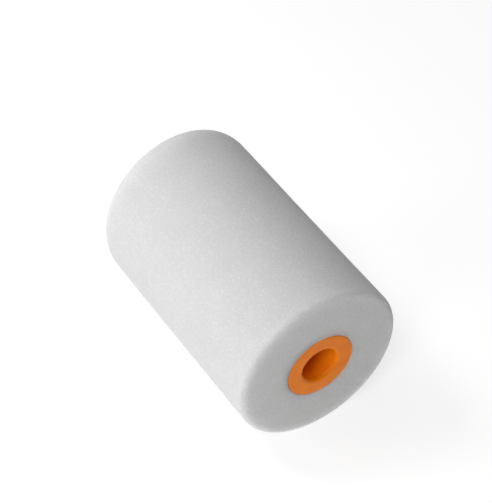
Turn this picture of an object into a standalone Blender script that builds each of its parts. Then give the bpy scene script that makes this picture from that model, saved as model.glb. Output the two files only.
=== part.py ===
"""Mini foam paint roller refill: a foam sleeve on a plastic core, with an open bush and a closed cap.

Everything is drawn about the local Z of the roller_axis empty, which is the axis that the roller turns
on. The empty lays that axis along world Y: local +Z, the open end, points to world -Y. The world origin
is the middle of the roller, and the roller lies on its side.
"""
import math

import bmesh
import bpy
from mathutils import Matrix

# Driving dimensions, in metres
MM = 0.001

SLEEVE_LENGTH = 55 * MM
FOAM_DIAMETER = 35 * MM
FOAM_FRONT_EDGE_RADIUS = 1.3 * MM
FOAM_REAR_EDGE_RADIUS = 5.2 * MM

CORE_OUTER_DIAMETER = 14.4 * MM
CORE_WALL = 1.2 * MM

FLANGE_DIAMETER = 14.5 * MM
FLANGE_THICKNESS = 1.4 * MM
FLANGE_EDGE_RADIUS = 0.4 * MM

AXLE_DIAMETER = 6 * MM
AXLE_CLEARANCE = 0.3 * MM
BUSH_BARREL_LENGTH = 12 * MM
FUNNEL_MOUTH_RADIUS = 3.75 * MM
FUNNEL_LIP_RADIUS = 0.9 * MM
FUNNEL_DEPTH = 4.5 * MM

CAP_SKIRT_LENGTH = 5 * MM
CAP_SKIRT_WALL = 0.7 * MM
CAP_DISH_RADIUS = 4.6 * MM
CAP_DISH_DEPTH = 0.5 * MM

RIB_COUNT = 6
RIB_WIDTH = 0.8 * MM
RIB_HEIGHT = 0.2 * MM
RIB_GAP = 0.25 * MM

FINGER_COUNT = 4
FINGER_LENGTH = 9 * MM
FINGER_WIDTH = 2.9 * MM
FINGER_THICKNESS = 1.15 * MM
FINGER_BARB_HEIGHT = 0.5 * MM
FINGER_BARB_BELOW_TIP = 1.5 * MM

FIT_GAP = 0.3 * MM
BOND_GAP = 0.35 * MM
TURNED_STEPS = 32
ARC_STEPS = 4

# Radii and heights that follow from them
FRONT = SLEEVE_LENGTH / 2
REAR = -SLEEVE_LENGTH / 2
CORE_INNER_RADIUS = CORE_OUTER_DIAMETER / 2 - CORE_WALL
SPIGOT_RADIUS = CORE_INNER_RADIUS - RIB_GAP - RIB_HEIGHT
AXLE_BORE_RADIUS = (AXLE_DIAMETER + AXLE_CLEARANCE) / 2
CORE_HALF_LENGTH = FRONT - FLANGE_THICKNESS - FIT_GAP
FINGER_ROOT = REAR + FLANGE_THICKNESS + FIT_GAP
FINGER_TIP = FINGER_ROOT + FINGER_LENGTH
FINGER_HINGE_RADIUS = AXLE_BORE_RADIUS + FINGER_THICKNESS / 2


def clear_scene():
    for obj in list(bpy.data.objects):
        bpy.data.objects.remove(obj)


def make_collection(name):
    collection = bpy.data.collections.new(name)
    bpy.context.scene.collection.children.link(collection)
    return collection


def make_empty(name, collection, parent=None, location=(0, 0, 0), rotation=(0, 0, 0)):
    empty = bpy.data.objects.new(name, None)
    empty.empty_display_size = 5 * MM
    empty.parent = parent
    empty.location = location
    empty.rotation_euler = rotation
    collection.objects.link(empty)
    return empty


def make_material(name, color, roughness):
    material = bpy.data.materials.new(name)
    material.use_nodes = True
    shader = material.node_tree.nodes["Principled BSDF"]
    shader.inputs["Base Color"].default_value = (*color, 1)
    shader.inputs["Roughness"].default_value = roughness
    shader.inputs["Metallic"].default_value = 0
    return material


def arc(center, radius, start, end):
    """Points (r, z) on an arc, from start to end in degrees, counted from +r towards +z."""
    points = []
    for step in range(ARC_STEPS + 1):
        angle = math.radians(start + (end - start) * step / ARC_STEPS)
        points.append((center[0] + radius * math.cos(angle), center[1] + radius * math.sin(angle)))
    return points


def turned_piece(name, profile, closed, parent, collection, location=(0, 0, 0)):
    """Turn a profile of (r, z) points, drawn down its outer side, about local Z.

    The flats of the turned shape touch the true radius, and one flat faces each of local +X, +Y, -X, -Y.
    """
    half_step = math.pi / TURNED_STEPS
    mesh = bpy.data.meshes.new(name)
    # a corner of the polygon stands out by 1 / cos(half_step); the profile starts half a step before +X
    points = [(r, -r * math.tan(half_step), z) for r, z in profile]
    edges = [(i, i + 1) for i in range(len(points) - 1)]
    if closed:
        edges.append((len(points) - 1, 0))
    mesh.from_pydata(points, edges, [])
    piece = bpy.data.objects.new(name, mesh)
    piece.parent = parent
    piece.location = location
    collection.objects.link(piece)

    screw = piece.modifiers.new("Turn", "SCREW")
    screw.axis = "Z"
    screw.angle = 2 * math.pi
    screw.steps = TURNED_STEPS
    screw.render_steps = TURNED_STEPS
    screw.use_merge_vertices = True
    screw.merge_threshold = 0.01 * MM
    screw.use_smooth_shade = True
    return piece


def box_mesh(name, boxes):
    """One mesh of boxes, each given as (low corner, high corner, turn about Z)."""
    mesh = bpy.data.meshes.new(name)
    bm = bmesh.new()
    for low, high, turn in boxes:
        corners = bmesh.ops.create_cube(bm, size=1)["verts"]
        size = [h - l for l, h in zip(low, high)]
        middle = [(l + h) / 2 for l, h in zip(low, high)]
        bmesh.ops.scale(bm, vec=size, verts=corners)
        bmesh.ops.translate(bm, vec=middle, verts=corners)
        bmesh.ops.rotate(bm, cent=(0, 0, 0), matrix=Matrix.Rotation(turn, 3, "Z"), verts=corners)
    bm.to_mesh(mesh)
    bm.free()
    return mesh


def combine(piece, operation, mesh, cutters):
    """Join a mesh to a piece, or keep only what they share, with a cutter that moves with the piece."""
    cutter = bpy.data.objects.new(mesh.name, mesh)
    cutter.parent = piece
    cutter.hide_render = True
    cutter.display_type = "WIRE"
    cutters.objects.link(cutter)
    boolean = piece.modifiers.new(mesh.name, "BOOLEAN")
    boolean.operation = operation
    boolean.solver = "EXACT"
    boolean.object = cutter


def finish(piece, material):
    piece.data.materials.append(material)
    shading = piece.modifiers.new("Shading", "WEIGHTED_NORMAL")
    shading.keep_sharp = True


def press_ribs(name, bottom, top):
    """Low ribs along a spigot, which grip the inside of the core."""
    low = (SPIGOT_RADIUS - RIB_HEIGHT, -RIB_WIDTH / 2, bottom)
    high = (SPIGOT_RADIUS + RIB_HEIGHT, RIB_WIDTH / 2, top)
    turns = [2 * math.pi * i / RIB_COUNT for i in range(RIB_COUNT)]
    return box_mesh(name, [(low, high, turn) for turn in turns])


def build_foam_sleeve(axis, parts, material):
    outer = FOAM_DIAMETER / 2
    bore = CORE_OUTER_DIAMETER / 2 + BOND_GAP
    front_round = FOAM_FRONT_EDGE_RADIUS
    rear_round = FOAM_REAR_EDGE_RADIUS
    profile = [(bore, FRONT)]
    profile += arc((outer - front_round, FRONT - front_round), front_round, 90, 0)
    profile += arc((outer - rear_round, REAR + rear_round), rear_round, 0, -90)
    profile.append((bore, REAR))
    sleeve = turned_piece("foam_sleeve", profile, True, axis, parts)
    finish(sleeve, material)


def build_core_tube(axis, parts, material):
    outer = CORE_OUTER_DIAMETER / 2
    inner = CORE_INNER_RADIUS
    lead_in = CORE_WALL / 3
    profile = [
        (inner + lead_in, CORE_HALF_LENGTH),
        (outer, CORE_HALF_LENGTH),
        (outer, -CORE_HALF_LENGTH),
        (inner + lead_in, -CORE_HALF_LENGTH),
        (inner, -CORE_HALF_LENGTH + lead_in),
        (inner, CORE_HALF_LENGTH - lead_in),
    ]
    tube = turned_piece("core_tube", profile, True, axis, parts)
    finish(tube, material)


def build_front_bush(axis, parts, cutters, material):
    rim = FLANGE_DIAMETER / 2
    under_flange = FRONT - FLANGE_THICKNESS
    barrel_end = under_flange - BUSH_BARREL_LENGTH
    lead_in = 0.5 * MM
    lip_center = (FUNNEL_MOUTH_RADIUS + FUNNEL_LIP_RADIUS, FRONT - FUNNEL_LIP_RADIUS)
    profile = arc((rim - FLANGE_EDGE_RADIUS, FRONT - FLANGE_EDGE_RADIUS), FLANGE_EDGE_RADIUS, 90, 0)
    profile += [
        (rim, under_flange),
        (SPIGOT_RADIUS, under_flange),
        (SPIGOT_RADIUS, barrel_end + lead_in),
        (SPIGOT_RADIUS - lead_in, barrel_end),
        (AXLE_BORE_RADIUS, barrel_end),
        (AXLE_BORE_RADIUS, FRONT - FUNNEL_DEPTH),
    ]
    profile += arc(lip_center, FUNNEL_LIP_RADIUS, 180, 90)
    bush = turned_piece("front_bush", profile, True, axis, parts)
    ribs = press_ribs("bush_ribs", barrel_end + 2 * lead_in, FRONT - FLANGE_THICKNESS / 2)
    combine(bush, "UNION", ribs, cutters)
    finish(bush, material)


def build_rear_cap(axis, parts, cutters, material):
    rim = FLANGE_DIAMETER / 2
    under_flange = REAR + FLANGE_THICKNESS
    skirt_inner = SPIGOT_RADIUS - CAP_SKIRT_WALL
    skirt_top = under_flange + CAP_SKIRT_LENGTH
    lead_in = 0.3 * MM
    profile = [
        (0, under_flange),
        (skirt_inner, under_flange),
        (skirt_inner, skirt_top),
        (SPIGOT_RADIUS - lead_in, skirt_top),
        (SPIGOT_RADIUS, skirt_top - lead_in),
        (SPIGOT_RADIUS, under_flange),
        (rim, under_flange),
    ]
    profile += arc((rim - FLANGE_EDGE_RADIUS, REAR + FLANGE_EDGE_RADIUS), FLANGE_EDGE_RADIUS, 0, -90)
    profile += [
        (CAP_DISH_RADIUS + CAP_DISH_DEPTH, REAR),
        (CAP_DISH_RADIUS, REAR + CAP_DISH_DEPTH),
        (0, REAR + CAP_DISH_DEPTH),
    ]
    cap = turned_piece("rear_cap", profile, False, axis, parts)
    ribs = press_ribs("cap_ribs", REAR + FLANGE_THICKNESS / 2, skirt_top - 2 * lead_in)
    combine(cap, "UNION", ribs, cutters)
    finish(cap, material)


def build_snap_fingers(axis, parts, cutters, material):
    """Four fingers round the axle's tip. Each bends outwards at its root, about its own hinge empty."""
    inner = AXLE_BORE_RADIUS
    outer = inner + FINGER_THICKNESS
    crest = inner - FINGER_BARB_HEIGHT
    crest_top = FINGER_TIP - FINGER_BARB_BELOW_TIP
    crest_bottom = crest_top - 0.6 * MM
    tip_chamfer = 0.3 * MM
    profile = [
        (inner + 0.2 * MM, FINGER_TIP),
        (outer - tip_chamfer, FINGER_TIP),
        (outer, FINGER_TIP - tip_chamfer),
        (outer, FINGER_ROOT),
        (inner, FINGER_ROOT),
        (inner, crest_bottom - FINGER_BARB_HEIGHT),
        (crest, crest_bottom),
        (crest, crest_top),
    ]
    low = (inner / 2, -FINGER_WIDTH / 2, FINGER_ROOT - MM)
    high = (outer + MM, FINGER_WIDTH / 2, FINGER_TIP + MM)
    for number in range(1, FINGER_COUNT + 1):
        turn = 2 * math.pi * (number - 1) / FINGER_COUNT
        root = (FINGER_HINGE_RADIUS * math.cos(turn), FINGER_HINGE_RADIUS * math.sin(turn), FINGER_ROOT)
        hinge = make_empty(f"finger_hinge_{number}", parts, axis, root, (0, 0, turn))
        to_axis = (-FINGER_HINGE_RADIUS, 0, -FINGER_ROOT)
        finger = turned_piece(f"snap_finger_{number}", profile, True, hinge, parts, to_axis)
        side_cut = box_mesh(f"finger_width_{number}", [(low, high, 0)])
        combine(finger, "INTERSECT", side_cut, cutters)
        finish(finger, material)


def main():
    clear_scene()
    parts = make_collection("foam_roller_refill")
    cutters = make_collection("cutters")
    axis = make_empty("roller_axis", parts, rotation=(math.pi / 2, 0, 0))

    white_foam = make_material("white_foam", (0.84, 0.85, 0.85), 0.95)
    core_plastic = make_material("core_plastic", (0.78, 0.78, 0.76), 0.5)
    bush_plastic = make_material("bush_plastic", (0.75, 0.2, 0.012), 0.35)
    cap_plastic = make_material("cap_plastic", (0.75, 0.2, 0.012), 0.35)
    finger_plastic = make_material("finger_plastic", (0.75, 0.2, 0.012), 0.4)

    build_foam_sleeve(axis, parts, white_foam)
    build_core_tube(axis, parts, core_plastic)
    build_front_bush(axis, parts, cutters, bush_plastic)
    build_rear_cap(axis, parts, cutters, cap_plastic)
    build_snap_fingers(axis, parts, cutters, finger_plastic)


main()
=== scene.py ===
import math

import bpy
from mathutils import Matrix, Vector, noise


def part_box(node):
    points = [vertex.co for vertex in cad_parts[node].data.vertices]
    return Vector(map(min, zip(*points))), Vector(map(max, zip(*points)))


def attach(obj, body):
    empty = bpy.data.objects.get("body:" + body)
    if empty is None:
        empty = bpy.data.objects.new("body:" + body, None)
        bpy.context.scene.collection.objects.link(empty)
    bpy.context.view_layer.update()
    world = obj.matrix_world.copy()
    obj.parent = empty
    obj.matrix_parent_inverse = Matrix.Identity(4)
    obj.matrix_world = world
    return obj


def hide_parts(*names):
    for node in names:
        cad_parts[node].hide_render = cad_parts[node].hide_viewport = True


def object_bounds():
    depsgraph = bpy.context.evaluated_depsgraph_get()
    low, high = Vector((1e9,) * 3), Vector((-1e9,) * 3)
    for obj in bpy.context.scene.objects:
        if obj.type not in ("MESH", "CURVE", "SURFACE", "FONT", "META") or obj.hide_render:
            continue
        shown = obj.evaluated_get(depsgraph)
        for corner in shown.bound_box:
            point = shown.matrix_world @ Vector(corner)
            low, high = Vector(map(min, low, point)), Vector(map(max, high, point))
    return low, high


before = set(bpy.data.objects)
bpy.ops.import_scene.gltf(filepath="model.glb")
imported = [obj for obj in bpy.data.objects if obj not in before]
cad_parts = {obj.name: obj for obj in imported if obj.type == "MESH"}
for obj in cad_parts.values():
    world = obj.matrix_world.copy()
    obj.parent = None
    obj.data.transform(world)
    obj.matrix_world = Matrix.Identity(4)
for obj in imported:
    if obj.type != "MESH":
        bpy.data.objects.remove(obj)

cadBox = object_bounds()
mm = 0.001


# an outline is a list of (radius, y) points; angles count from +radius towards +y
def arcPoints(centre, radius, startDeg, endDeg, steps):
    points = []
    for i in range(steps + 1):
        angle = math.radians(startDeg + (endDeg - startDeg) * i / steps)
        points.append((centre[0] + radius * math.cos(angle), centre[1] + radius * math.sin(angle)))
    return points


def fillIn(outline, spacing, closed=True):
    # adds points so that no step along the outline is longer than the spacing
    filled = []
    ends = outline[1:] + outline[:1] if closed else outline[1:]
    for (r0, y0), (r1, y1) in zip(outline, ends):
        steps = max(1, math.ceil(math.hypot(r1 - r0, y1 - y0) / spacing))
        for i in range(steps):
            filled.append((r0 + (r1 - r0) * i / steps, y0 + (y1 - y0) * i / steps))
    if not closed:
        filled.append(outline[-1])
    return filled


def turnedPiece(name, outline, segments, closed=True, reshape=None):
    # turns the outline about the Y axis; a point on the axis becomes one vertex
    area = sum(r0 * y1 - r1 * y0 for (r0, y0), (r1, y1) in zip(outline, outline[1:] + outline[:1]))
    if area > 0:
        outline = outline[::-1]  # keeps the faces pointing outward
    vertices, rings, faces = [], [], []
    for radius, y in outline:
        if radius < 1e-7:
            rings.append([len(vertices)])
            vertices.append((0, y, 0))
            continue
        rings.append(list(range(len(vertices), len(vertices) + segments)))
        for k in range(segments):
            angle = 2 * math.pi * k / segments
            r = reshape(radius, y, angle) if reshape else radius
            vertices.append((r * math.cos(angle), y, r * math.sin(angle)))
    pairs = list(zip(rings, rings[1:]))
    if closed:
        pairs.append((rings[-1], rings[0]))
    for a, b in pairs:
        for k in range(segments):
            n = (k + 1) % segments
            if len(a) == 1:
                faces.append((a[0], b[n], b[k]))
            elif len(b) == 1:
                faces.append((a[k], a[n], b[0]))
            else:
                faces.append((a[k], a[n], b[n], b[k]))
    mesh = bpy.data.meshes.new(name)
    mesh.from_pydata(vertices, [], faces)
    mesh.update()
    piece = bpy.data.objects.new(name, mesh)
    bpy.context.scene.collection.objects.link(piece)
    return piece


def smoothStep(low, high, value):
    t = min(1, max(0, (value - low) / (high - low)))
    return t * t * (3 - 2 * t)


def shadeSmooth(piece, sharpDeg=40):
    piece.data.shade_smooth()
    piece.data.set_sharp_from_angle(angle=math.radians(sharpDeg))


def newFinish(name):
    finish = bpy.data.materials.new(name)
    finish.use_nodes = True
    return finish, finish.node_tree.nodes, finish.node_tree.links


def addNode(nodes, kind, **settings):
    node = nodes.new(kind)
    for key, value in settings.items():
        setattr(node, key, value)
    return node


def addRamp(nodes, stops):
    ramp = nodes.new("ShaderNodeValToRGB")
    while len(ramp.color_ramp.elements) < len(stops):
        ramp.color_ramp.elements.new(0.5)
    for element, (position, color) in zip(ramp.color_ramp.elements, stops):
        element.position = position
        element.color = (*color, 1)
    return ramp


foamLook = {
    "cellSize": 0.54 * mm,
    "cellReach": (0.1, 0.5),
    # the next two colours are painted light and shade: pale lit cell walls on darker shaded hollows
    "litWallColor": (0.610, 0.613, 0.610),
    "hollowShadeColor": (0.553, 0.556, 0.553),
    "cloudSize": 7 * mm,
    "cloudDepth": 0.03,
    # the next three entries set painted glints on sparse cells
    "glintSpacing": 3.6 * mm,
    "glintSize": 0.07,
    "paintedGlintColor": (0.63, 0.63, 0.63),
    "roughness": 0.95,
    "gloss": 0.1,
    "softDepth": 6 * mm,
    "softShare": 1.0,
    "fibreScale": 1.3,
    "fibreShare": 0.35,
    "bumpDepth": 0.16 * mm,
    "bumpStrength": 0.6,
}


def foamFinish():
    look = foamLook
    finish, nodes, links = newFinish("whiteFoam")
    shader = nodes["Principled BSDF"]
    shader.inputs["Roughness"].default_value = look["roughness"]
    shader.inputs["Specular IOR Level"].default_value = look["gloss"]
    shader.inputs["Subsurface Weight"].default_value = look["softShare"]
    shader.inputs["Subsurface Radius"].default_value = (1, 1, 1)
    shader.inputs["Subsurface Scale"].default_value = look["softDepth"]
    place = addNode(nodes, "ShaderNodeTexCoord")

    cells = addNode(nodes, "ShaderNodeTexVoronoi", feature="F1")
    cells.inputs["Scale"].default_value = 1 / look["cellSize"]
    links.new(place.outputs["Object"], cells.inputs["Vector"])
    # painted light and shade: the cell centres are painted pale as lit torn walls, and the hollows
    # between them are painted darker as shade
    near, far = look["cellReach"]
    cellLightAndShade = addRamp(nodes, [(near, look["litWallColor"]), (far, look["hollowShadeColor"])])
    links.new(cells.outputs["Distance"], cellLightAndShade.inputs["Fac"])

    clouds = addNode(nodes, "ShaderNodeTexNoise")
    clouds.inputs["Scale"].default_value = 1 / look["cloudSize"]
    clouds.inputs["Detail"].default_value = 3
    links.new(place.outputs["Object"], clouds.inputs["Vector"])
    low = 1 - look["cloudDepth"]
    cloudTone = addRamp(nodes, [(0.3, (low, low, low)), (0.7, (1, 1, 1))])
    links.new(clouds.outputs["Fac"], cloudTone.inputs["Fac"])
    clouded = addNode(nodes, "ShaderNodeMix", data_type="RGBA", blend_type="MULTIPLY")
    clouded.inputs["Factor"].default_value = 1
    links.new(cellLightAndShade.outputs["Color"], clouded.inputs["A"])
    links.new(cloudTone.outputs["Color"], clouded.inputs["B"])

    # painted glints: here and there a torn cell is painted paler, as where it catches the light
    glintCells = addNode(nodes, "ShaderNodeTexVoronoi", feature="F1")
    glintCells.inputs["Scale"].default_value = 1 / look["glintSpacing"]
    links.new(place.outputs["Object"], glintCells.inputs["Vector"])
    paintedGlintMask = addRamp(nodes, [(look["glintSize"] * 0.6, (1, 1, 1)), (look["glintSize"], (0, 0, 0))])
    links.new(glintCells.outputs["Distance"], paintedGlintMask.inputs["Fac"])
    withGlints = addNode(nodes, "ShaderNodeMix", data_type="RGBA", blend_type="MIX")
    withGlints.inputs["B"].default_value = (*look["paintedGlintColor"], 1)
    links.new(paintedGlintMask.outputs["Color"], withGlints.inputs["Factor"])
    links.new(clouded.outputs["Result"], withGlints.inputs["A"])
    links.new(withGlints.outputs["Result"], shader.inputs["Base Color"])

    fibres = addNode(nodes, "ShaderNodeTexNoise")
    fibres.inputs["Scale"].default_value = look["fibreScale"] / look["cellSize"]
    fibres.inputs["Detail"].default_value = 2
    links.new(place.outputs["Object"], fibres.inputs["Vector"])
    relief = addNode(nodes, "ShaderNodeMath", operation="MULTIPLY_ADD")
    relief.inputs[1].default_value = look["fibreShare"]
    links.new(fibres.outputs["Fac"], relief.inputs[0])
    links.new(cells.outputs["Distance"], relief.inputs[2])
    bump = addNode(nodes, "ShaderNodeBump", invert=True)
    bump.inputs["Strength"].default_value = look["bumpStrength"]
    bump.inputs["Distance"].default_value = look["bumpDepth"]
    links.new(relief.outputs["Value"], bump.inputs["Height"])
    links.new(bump.outputs["Normal"], shader.inputs["Normal"])
    return finish


foamSleeve = {
    "segments": 364,
    "rowStep": 0.31 * mm,
    "boreRowStep": 6 * mm,
    "frontRound": 1.2 * mm,
    "frontDrop": 0.2 * mm,
    "dropStart": 9.5 * mm,
    "dropReach": 9.6 * mm,
    "rearRound": 5.2 * mm,
    "rearSkew": (1.15 * mm, 0.45 * mm),
    "skewReach": 14 * mm,
    "boreRound": 0.15 * mm,
    "boreGap": 0.04 * mm,
    "roughFrom": 0.2 * mm,
    "roughFull": 1.2 * mm,
    "waveSize": 15 * mm,
    "waveHeight": 0.05 * mm,
    "lumpSize": 1.3 * mm,
    "lumpHeight": 0.012 * mm,
    "poreSize": 0.55 * mm,
    "poreDepth": 0.03 * mm,
    "restFlat": 0.05 * mm,
}


def foamOutline(half, outer, bore):
    f, b, lip = foamSleeve["frontRound"], foamSleeve["rearRound"], foamSleeve["boreRound"]
    outline = arcPoints((bore + lip, -half + lip), lip, 180, 270, 3)
    outline += arcPoints((outer - f, -half + f), f, 270, 360, 8)
    outline += arcPoints((outer - b, half - b), b, 0, 90, 30)
    outline += arcPoints((bore + lip, half - lip), lip, 90, 180, 3)
    # the bore is out of sight, so it needs few rows
    shown = fillIn(outline, foamSleeve["rowStep"], closed=False)
    inside = fillIn([shown[-1], shown[0]], foamSleeve["boreRowStep"], closed=False)
    return shown + inside[1:-1]


def easeFront(piece, outer, frontY):
    # the cut face falls away slightly towards its rim
    start, reach = foamSleeve["dropStart"], foamSleeve["dropReach"]
    for vertex in piece.data.vertices:
        at = vertex.co
        out = max(0, math.hypot(at.x, at.z) - start) / (outer - start)
        at.y += foamSleeve["frontDrop"] * out ** 2 * (1 - smoothStep(frontY, frontY + reach, at.y))
    piece.data.update()


def skewRear(piece, outer, bore, rearY):
    # the far end is cut a little out of square; the cut is true again where it meets the cap
    across, up = foamSleeve["rearSkew"]
    for vertex in piece.data.vertices:
        at = vertex.co
        share = smoothStep(rearY - foamSleeve["skewReach"], rearY, at.y)
        share *= smoothStep(bore, outer, math.hypot(at.x, at.z))
        at.y += share * (across * at.x + up * at.z) / outer
    piece.data.update()


def roughenFoam(piece, bore, floorZ):
    shape = foamSleeve
    mesh = piece.data
    normals = [v.normal.copy() for v in mesh.vertices]
    for vertex, normal in zip(mesh.vertices, normals):
        at = vertex.co
        radius = math.hypot(at.x, at.z)
        share = smoothStep(bore + shape["roughFrom"], bore + shape["roughFull"], radius)
        if share == 0:
            continue
        height = shape["waveHeight"] * noise.noise(at / shape["waveSize"])
        height += shape["lumpHeight"] * noise.noise(at / shape["lumpSize"])
        nearest = noise.voronoi(at / shape["poreSize"])[0][0]
        height -= shape["poreDepth"] * (1 - smoothStep(0, 0.7, nearest))
        vertex.co = at + normal * (share * height)
        # its own weight presses a narrow flat where the roller rests
        if vertex.co.z < floorZ + shape["restFlat"]:
            vertex.co.z = floorZ + shape["restFlat"] * 0.5
    mesh.update()


def buildFoam():
    low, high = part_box("foam_sleeve")
    flangeLow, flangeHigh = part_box("front_bush")
    bore = (flangeHigh.x - flangeLow.x) / 2 + foamSleeve["boreGap"]
    outline = foamOutline(high.y, high.x, bore)
    foam = turnedPiece("foamSleeve", outline, foamSleeve["segments"])
    easeFront(foam, high.x, low.y)
    skewRear(foam, high.x, bore, high.y)
    roughenFoam(foam, bore, low.z)
    shadeSmooth(foam, 180)
    foam.data.materials.append(foamFinish())
    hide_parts("foam_sleeve")
    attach(foam, "sleeve")
    print("foam sleeve made,", len(foam.data.polygons), "faces")
    return foam


plasticLook = {
    "color": (0.815, 0.193, 0.002),
    "paleColor": (0.86, 0.228, 0.004),
    "roughness": 0.25,
    "roughnessSpread": 0.05,
    "mottleSize": 2.2 * mm,
    "grainSize": 0.12 * mm,
    "grainDepth": 0.004 * mm,
    "grainStrength": 0.4,
    "gloss": 0.12,
    "glowShare": 0.15,
    "glowDepth": 1.2 * mm,
    "glowSpread": (1, 0.35, 0.08),
}


def plasticFinish():
    look = plasticLook
    finish, nodes, links = newFinish("orangePlastic")
    shader = nodes["Principled BSDF"]
    shader.inputs["Specular IOR Level"].default_value = look["gloss"]
    shader.inputs["Subsurface Weight"].default_value = look["glowShare"]
    shader.inputs["Subsurface Radius"].default_value = look["glowSpread"]
    shader.inputs["Subsurface Scale"].default_value = look["glowDepth"]
    place = addNode(nodes, "ShaderNodeTexCoord")

    mottle = addNode(nodes, "ShaderNodeTexNoise")
    mottle.inputs["Scale"].default_value = 1 / look["mottleSize"]
    mottle.inputs["Detail"].default_value = 4
    links.new(place.outputs["Object"], mottle.inputs["Vector"])
    tone = addRamp(nodes, [(0.35, look["color"]), (0.7, look["paleColor"])])
    links.new(mottle.outputs["Fac"], tone.inputs["Fac"])
    links.new(tone.outputs["Color"], shader.inputs["Base Color"])
    gloss = addNode(nodes, "ShaderNodeMapRange")
    gloss.inputs["To Min"].default_value = look["roughness"] - look["roughnessSpread"]
    gloss.inputs["To Max"].default_value = look["roughness"] + look["roughnessSpread"]
    links.new(mottle.outputs["Fac"], gloss.inputs["Value"])
    links.new(gloss.outputs["Result"], shader.inputs["Roughness"])

    grain = addNode(nodes, "ShaderNodeTexNoise")
    grain.inputs["Scale"].default_value = 1 / look["grainSize"]
    links.new(place.outputs["Object"], grain.inputs["Vector"])
    bump = addNode(nodes, "ShaderNodeBump")
    bump.inputs["Strength"].default_value = look["grainStrength"]
    bump.inputs["Distance"].default_value = look["grainDepth"]
    links.new(grain.outputs["Fac"], bump.inputs["Height"])
    links.new(bump.outputs["Normal"], shader.inputs["Normal"])
    return finish


spigotRibs = {
    "count": 6,
    "crownHalf": 0.28 * mm,
    "footHalf": 0.48 * mm,
    "height": 0.2 * mm,
    "lead": 0.6 * mm,
}


def ribbed(low, high, spigot):
    # gives the reshape function that raises rounded ribs on a spigot's outside
    def raised(radius, y, angle):
        if abs(radius - spigot) > 0.02 * mm:
            return radius
        spacing = 2 * math.pi / spigotRibs["count"]
        across = abs((angle + spacing / 2) % spacing - spacing / 2) * spigot
        side = 1 - smoothStep(spigotRibs["crownHalf"], spigotRibs["footHalf"], across)
        ends = smoothStep(low, low + spigotRibs["lead"], y)
        ends *= 1 - smoothStep(high - spigotRibs["lead"], high, y)
        return radius + spigotRibs["height"] * side * ends
    return raised


frontBush = {
    "segments": 240,
    "flangeThick": 1.4 * mm,
    "flangeRound": 0.22 * mm,
    "boreRadius": 3.15 * mm,
    "mouthRadius": 3.75 * mm,
    "lipRound": 0.9 * mm,
    "funnelDepth": 4.5 * mm,
    "funnelRound": 3 * mm,
    "spigotRadius": 5.55 * mm,
    "endRound": 0.35 * mm,
    "boreEndRound": 0.15 * mm,
    "underChamfer": 0.1 * mm,
    "rootRound": 0.2 * mm,
    "outlineStep": 0.45 * mm,
}


def buildFrontBush(finish):
    shape = frontBush
    low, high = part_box("front_bush")
    face, end, rim = low.y, high.y, high.x
    under = face + shape["flangeThick"]
    edge, lip, tail = shape["flangeRound"], shape["lipRound"], shape["endRound"]
    spigot, bore, boreEnd = shape["spigotRadius"], shape["boreRadius"], shape["boreEndRound"]
    chamfer, root, throat = shape["underChamfer"], shape["rootRound"], shape["funnelRound"]
    outline = arcPoints((shape["mouthRadius"] + lip, face + lip), lip, 180, 270, 18)
    outline += arcPoints((rim - edge, face + edge), edge, 270, 360, 6)
    outline += [(rim, under - chamfer), (rim - chamfer, under)]
    outline += arcPoints((spigot + root, under + root), root, 270, 180, 4)
    outline += arcPoints((spigot - tail, end - tail), tail, 0, 90, 5)
    outline += arcPoints((bore + boreEnd, end - boreEnd), boreEnd, 90, 180, 4)
    outline += arcPoints((bore - throat, face + shape["funnelDepth"]), throat, 4, 0, 2)
    outline = fillIn(outline, shape["outlineStep"])
    bush = turnedPiece("frontBush", outline, shape["segments"], reshape=ribbed(under, end, spigot))
    shadeSmooth(bush)
    bush.data.materials.append(finish)
    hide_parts("front_bush")
    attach(bush, "sleeve")
    print("front bush made")
    return bush


rearCap = {
    "segments": 240,
    "flangeThick": 1.4 * mm,
    "flangeRound": 0.22 * mm,
    "dishRadius": 4.6 * mm,
    "dishDepth": 0.5 * mm,
    "skirtWall": 0.7 * mm,
    "spigotRadius": 5.55 * mm,
    "gateRadius": 0.6 * mm,
    "gateTop": 0.42 * mm,
    "gateHeight": 0.12 * mm,
    "dishFloorRound": 0.3 * mm,
    "dishRimRound": 0.25 * mm,
    "dishSlope": 0.1 * mm,
    "underChamfer": 0.1 * mm,
    "rootRound": 0.2 * mm,
    "skirtEndRound": 0.25 * mm,
    "skirtLipRound": 0.15 * mm,
    "cornerRound": 0.3 * mm,
    "outlineStep": 0.45 * mm,
}


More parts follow.
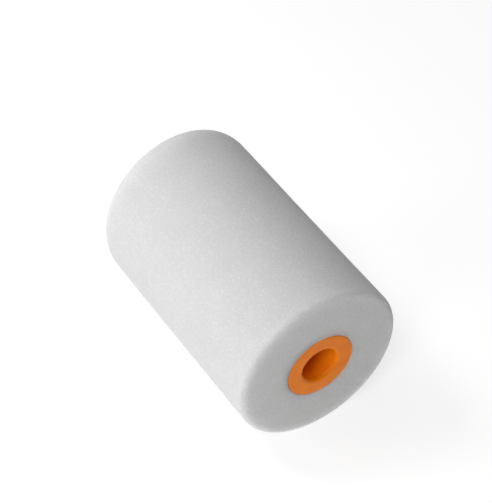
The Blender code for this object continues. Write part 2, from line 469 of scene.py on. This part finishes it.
def buildRearCap(finish):
    shape = rearCap
    low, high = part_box("rear_cap")
    face, skirtEnd, rim = high.y, low.y, high.x
    under = face - shape["flangeThick"]
    dishFloor = face - shape["dishDepth"]
    gateTop = dishFloor + shape["gateHeight"]  # the mark where the plastic went in
    edge, chamfer, root = shape["flangeRound"], shape["underChamfer"], shape["rootRound"]
    dishRound, rimRound = shape["dishFloorRound"], shape["dishRimRound"]
    rimStart = shape["dishRadius"] + shape["dishDepth"] + shape["dishSlope"]
    endRound, lipRound, corner = shape["skirtEndRound"], shape["skirtLipRound"], shape["cornerRound"]
    spigot = shape["spigotRadius"]
    inner = spigot - shape["skirtWall"]
    outline = [(0, gateTop), (shape["gateTop"], gateTop), (shape["gateRadius"], dishFloor)]
    outline += arcPoints((shape["dishRadius"] - dishRound, dishFloor + dishRound), dishRound, 270, 330, 5)
    outline += arcPoints((rimStart, face - rimRound), rimRound, 150, 90, 5)
    outline += arcPoints((rim - edge, face - edge), edge, 90, 0, 6)
    outline += [(rim, under + chamfer), (rim - chamfer, under)]
    outline += arcPoints((spigot + root, under - root), root, 90, 180, 4)
    outline += arcPoints((spigot - endRound, skirtEnd + endRound), endRound, 0, -90, 5)
    outline += arcPoints((inner + lipRound, skirtEnd + lipRound), lipRound, 270, 180, 4)
    outline += arcPoints((inner - corner, under - corner), corner, 0, 90, 5)
    outline += [(0, under)]
    outline = fillIn(outline, shape["outlineStep"], closed=False)
    raised = ribbed(skirtEnd, under, spigot)
    cap = turnedPiece("rearCap", outline, shape["segments"], closed=False, reshape=raised)
    shadeSmooth(cap)
    cap.data.materials.append(finish)
    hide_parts("rear_cap")
    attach(cap, "sleeve")
    print("rear cap made")
    return cap


# each snap finger is an outline in (radius, y), carried across its width
snapFinger = {
    "count": 4,
    "width": 2.9 * mm,
    "acrossSteps": 12,
    "innerRadius": 3.15 * mm,
    "thickness": 1.15 * mm,
    "tipInset": 0.2 * mm,
    "tipChamfer": 0.3 * mm,
    "barbHeight": 0.5 * mm,
    "barbBelowTip": 1.5 * mm,
    "barbFlat": 0.6 * mm,
    "barbRun": 1.1 * mm,
    "outlineStep": 0.5 * mm,
    "rootReach": 0.2 * mm,
    "edgeRound": 0.12 * mm,
}


def fingerOutline(tip, root):
    shape = snapFinger
    inner = shape["innerRadius"]
    outer = inner + shape["thickness"]
    crest = inner - shape["barbHeight"]
    crestTop = tip + shape["barbBelowTip"]
    return [
        (inner + shape["tipInset"], tip),
        (outer - shape["tipChamfer"], tip), (outer, tip + shape["tipChamfer"]),
        (outer, root), (inner, root),
        (inner, crestTop + shape["barbRun"]), (crest, crestTop + shape["barbFlat"]), (crest, crestTop),
    ]


def buildFinger(number, finish):
    shape = snapFinger
    node = f"snap_finger_{number}"
    low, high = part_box(node)
    outline = fingerOutline(low.y, high.y + shape["rootReach"])
    outline = fillIn(outline, shape["outlineStep"])
    turn = 2 * math.pi * (number - 1) / shape["count"]
    steps = shape["acrossSteps"]
    rows = len(outline)
    vertices, faces = [], []
    for i in range(steps + 1):
        across = shape["width"] * (i / steps - 0.5)
        for radius, y in outline:
            outward = math.sqrt(radius * radius - across * across)
            x = outward * math.cos(turn) - across * math.sin(turn)
            z = outward * math.sin(turn) + across * math.cos(turn)
            vertices.append((x, y, z))
    for i in range(steps):
        for j in range(rows):
            n = (j + 1) % rows
            faces.append((i * rows + j, i * rows + n, (i + 1) * rows + n, (i + 1) * rows + j))
    faces.append(tuple(reversed(range(rows))))
    faces.append(tuple(range(steps * rows, (steps + 1) * rows)))
    mesh = bpy.data.meshes.new(f"snapFinger{number}")
    mesh.from_pydata(vertices, [], faces)
    mesh.update()
    finger = bpy.data.objects.new(f"snapFinger{number}", mesh)
    bpy.context.scene.collection.objects.link(finger)
    soften = finger.modifiers.new("edges", "BEVEL")
    soften.width = shape["edgeRound"]
    soften.segments = 3
    soften.limit_method = "ANGLE"
    soften.angle_limit = math.radians(35)
    mesh.shade_smooth()
    mesh.materials.append(finish)
    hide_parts(node)
    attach(finger, f"finger_{number}")
    return finger


coreTube = {
    "segments": 192,
    "wall": 1.2 * mm,
    "endRound": 0.3 * mm,
    "color": (0.78, 0.78, 0.75),
    "lineColor": (0.72, 0.72, 0.69),
    "lineSpacing": 0.25 * mm,
    "lineLength": 25 * mm,
    "lineDepth": 0.01 * mm,
    "lineStrength": 0.3,
    "roughness": 0.42,
    "outlineStep": 4 * mm,
}


def coreFinish():
    look = coreTube
    finish, nodes, links = newFinish("corePlastic")
    shader = nodes["Principled BSDF"]
    shader.inputs["Roughness"].default_value = look["roughness"]
    place = addNode(nodes, "ShaderNodeTexCoord")
    stretch = addNode(nodes, "ShaderNodeMapping")
    across = 1 / look["lineSpacing"]
    stretch.inputs["Scale"].default_value = (across, 1 / look["lineLength"], across)
    links.new(place.outputs["Object"], stretch.inputs["Vector"])
    drawLines = addNode(nodes, "ShaderNodeTexNoise")
    drawLines.inputs["Scale"].default_value = 1
    links.new(stretch.outputs["Vector"], drawLines.inputs["Vector"])
    tone = addRamp(nodes, [(0.35, look["lineColor"]), (0.65, look["color"])])
    links.new(drawLines.outputs["Fac"], tone.inputs["Fac"])
    links.new(tone.outputs["Color"], shader.inputs["Base Color"])
    bump = addNode(nodes, "ShaderNodeBump")
    bump.inputs["Strength"].default_value = look["lineStrength"]
    bump.inputs["Distance"].default_value = look["lineDepth"]
    links.new(drawLines.outputs["Fac"], bump.inputs["Height"])
    links.new(bump.outputs["Normal"], shader.inputs["Normal"])
    return finish


def buildCore():
    low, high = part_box("core_tube")
    outer, edge = high.x, coreTube["endRound"]
    inner = outer - coreTube["wall"]
    outline = arcPoints((outer - edge, high.y - edge), edge, 0, 90, 4)
    outline += arcPoints((inner + edge, high.y - edge), edge, 90, 180, 4)
    outline += arcPoints((inner + edge, low.y + edge), edge, 180, 270, 4)
    outline += arcPoints((outer - edge, low.y + edge), edge, 270, 360, 4)
    outline = fillIn(outline, coreTube["outlineStep"])
    tube = turnedPiece("coreTube", outline, coreTube["segments"])
    shadeSmooth(tube)
    tube.data.materials.append(coreFinish())
    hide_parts("core_tube")
    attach(tube, "sleeve")
    print("core tube made")
    return tube


studio = {
    "floorSize": 4.0,
    "floorColor": (0.40, 0.40, 0.40),
    "floorGlow": 0.708,
    "floorRoughness": 0.8,
    "backdropColor": (0.72, 0.72, 0.72),
    "camera": {
        "azimuth": -32.58,
        "elevation": 47.25,
        "distance": 366.0 * mm,
        "aimRight": 0.94 * mm,
        "aimUp": 4.64 * mm,
        "lens": 133.6,
    },
    "panels": {
        "keyFront": {"place": (-0.38, -0.20, 0.26), "size": 0.20, "power": 0.118},
        "keyLow": {"place": (-0.40, 0.22, 0.11), "size": 0.20, "power": 0.66},
        "nearFront": {"place": (-0.13, -0.10, 0.06), "size": 0.06, "power": 0.052},
        "topFront": {"place": (-0.20, -0.20, 0.42), "size": 0.20, "power": 0.702},
        "topLeft": {"place": (-0.09, 0.10, 0.20), "size": 0.08, "power": 0.266},
        "topBack": {"place": (0, 0.10, 0.52), "size": 0.30, "power": 0.616},
    },
}


def buildStudio():
    floorZ = cadBox[0].z
    half = studio["floorSize"] / 2
    mesh = bpy.data.meshes.new("floor")
    corners = [(-half, -half, floorZ), (half, -half, floorZ), (half, half, floorZ), (-half, half, floorZ)]
    mesh.from_pydata(corners, [], [(0, 1, 2, 3)])
    floor = bpy.data.objects.new("floor", mesh)
    bpy.context.scene.collection.objects.link(floor)
    finish, nodes, _ = newFinish("paleFloor")
    shader = nodes["Principled BSDF"]
    shader.inputs["Base Color"].default_value = (*studio["floorColor"], 1)
    shader.inputs["Roughness"].default_value = studio["floorRoughness"]
    shader.inputs["Specular IOR Level"].default_value = 0
    shader.inputs["Emission Color"].default_value = (1, 1, 1, 1)
    shader.inputs["Emission Strength"].default_value = studio["floorGlow"]
    mesh.materials.append(finish)

    world = bpy.data.worlds.new("studioWorld")
    world.use_nodes = True
    background = world.node_tree.nodes["Background"]
    background.inputs["Color"].default_value = (*studio["backdropColor"], 1)
    # seen behind the floor at low angles, but lights nothing
    rays = world.node_tree.nodes.new("ShaderNodeLightPath")
    world.node_tree.links.new(rays.outputs["Is Camera Ray"], background.inputs["Strength"])
    bpy.context.scene.world = world

    for name, panel in studio["panels"].items():
        light = bpy.data.lights.new(name, "AREA")
        light.shape = "SQUARE"
        light.size = panel["size"]
        light.energy = panel["power"]
        lamp = bpy.data.objects.new(name, light)
        lamp.location = panel["place"]
        lamp.visible_camera = False
        lamp.rotation_euler = (-Vector(panel["place"])).to_track_quat("-Z", "Y").to_euler()
        bpy.context.scene.collection.objects.link(lamp)

    view = studio["camera"]
    turn, rise = math.radians(view["azimuth"]), math.radians(view["elevation"])
    back = Vector((math.sin(turn) * math.cos(rise), -math.cos(turn) * math.cos(rise), math.sin(rise)))
    right = Vector((math.cos(turn), math.sin(turn), 0))
    aim = right * view["aimRight"] + back.cross(right) * view["aimUp"]
    lens = bpy.data.cameras.new("camera")
    lens.lens = view["lens"]
    lens.sensor_width = 36
    lens.clip_start = 0.01
    camera = bpy.data.objects.new("camera", lens)
    camera.location = back * view["distance"]
    camera.rotation_euler = (aim - camera.location).to_track_quat("-Z", "Y").to_euler()
    bpy.context.scene.collection.objects.link(camera)
    bpy.context.scene.camera = camera
    bpy.context.scene.view_settings.view_transform = "Standard"
    print("studio ready")


buildStudio()
buildFoam()
orange = plasticFinish()
buildFrontBush(orange)
buildRearCap(orange)
for number in range(1, snapFinger["count"] + 1):
    buildFinger(number, orange)
print("snap fingers made")
buildCore()
